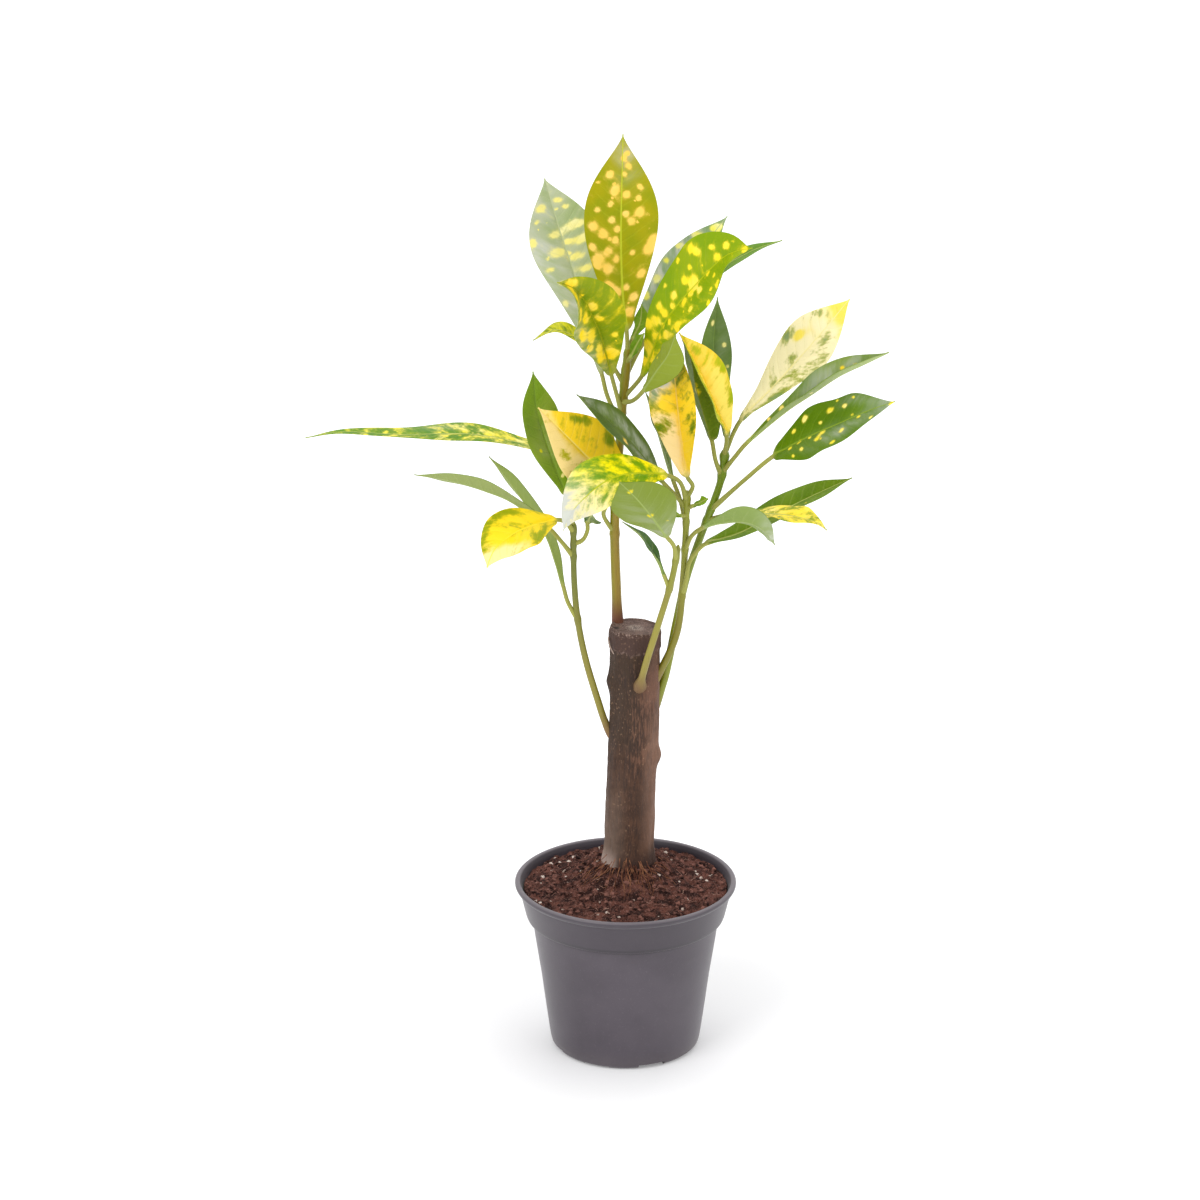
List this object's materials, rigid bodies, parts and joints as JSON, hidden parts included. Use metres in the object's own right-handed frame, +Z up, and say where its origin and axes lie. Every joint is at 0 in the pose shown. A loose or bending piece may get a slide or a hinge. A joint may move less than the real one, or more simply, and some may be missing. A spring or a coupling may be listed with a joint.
{
  "type": "potted croton plant",
  "caption": "Potted croton houseplant: a cut woody trunk in a round nursery pot, with green side shoots that carry narrow variegated leaves, for dressing a room.",
  "frame": {"origin": "in the plane of the pot's foot, under the middle of the whole plant's box; the pot's axis stands 16 mm to the right of it and 5 mm towards the front", "axes": "+Z up along the pot's axis, -Y towards the front of the plant, +X to its right"},
  "size_m": [0.3082, 0.1304, 0.505],
  "materials": {
    "pot": "matt warm grey moulded plastic with a slightly worn, paler rim",
    "soil": "coarse dark red-brown potting soil with white mineral grains and root fibres",
    "bark": "brown bark with fine upright cracks, greyer towards the soil, with a pale cut top",
    "green_stem": "smooth olive green young stem, browner and corky where it leaves the trunk",
    "leaf_green": "glossy green leaf with yellow spots and a paler midrib",
    "leaf_gold": "glossy golden to cream leaf with green blotches and a pale midrib",
    "leaf_pale": "satin grey-green leaf or leaf underside with pale veins and cream blotches"
  },
  "bodies": {
    "root": {"pot": "pot", "soil": "soil", "trunk": "bark", "shoot_crown": "green_stem", "shoot_left": "green_stem", "shoot_front": "green_stem", "shoot_right": "green_stem", "shoot_far": "green_stem", "leaf_crown_tall": "leaf_green", "leaf_crown_front_left": "leaf_green", "leaf_crown_arched": "leaf_green", "leaf_crown_broad": "leaf_green", "leaf_crown_far": "leaf_green", "leaf_crown_long": "leaf_green", "leaf_left_upright": "leaf_green", "leaf_right_dark": "leaf_green", "leaf_right_strip": "leaf_green", "leaf_right_low_dark": "leaf_green", "leaf_front_strip": "leaf_green", "leaf_far_upright": "leaf_green", "leaf_far_olive": "leaf_green", "leaf_far_folded": "leaf_green", "leaf_far_spotted": "leaf_green", "leaf_crown_gold": "leaf_gold", "leaf_left_yellow": "leaf_gold", "leaf_right_gold": "leaf_gold", "leaf_right_bright": "leaf_gold", "leaf_far_yellow": "leaf_gold", "leaf_far_cream": "leaf_gold", "leaf_far_low_yellow": "leaf_gold", "leaf_crown_back_left": "leaf_pale", "leaf_crown_behind": "leaf_pale", "leaf_crown_cupped": "leaf_pale", "leaf_left_slim": "leaf_pale", "leaf_left_sage": "leaf_pale", "leaf_left_small": "leaf_pale", "leaf_front_broad": "leaf_pale", "leaf_right_low_pale": "leaf_pale"}
  },
  "joints": []
}
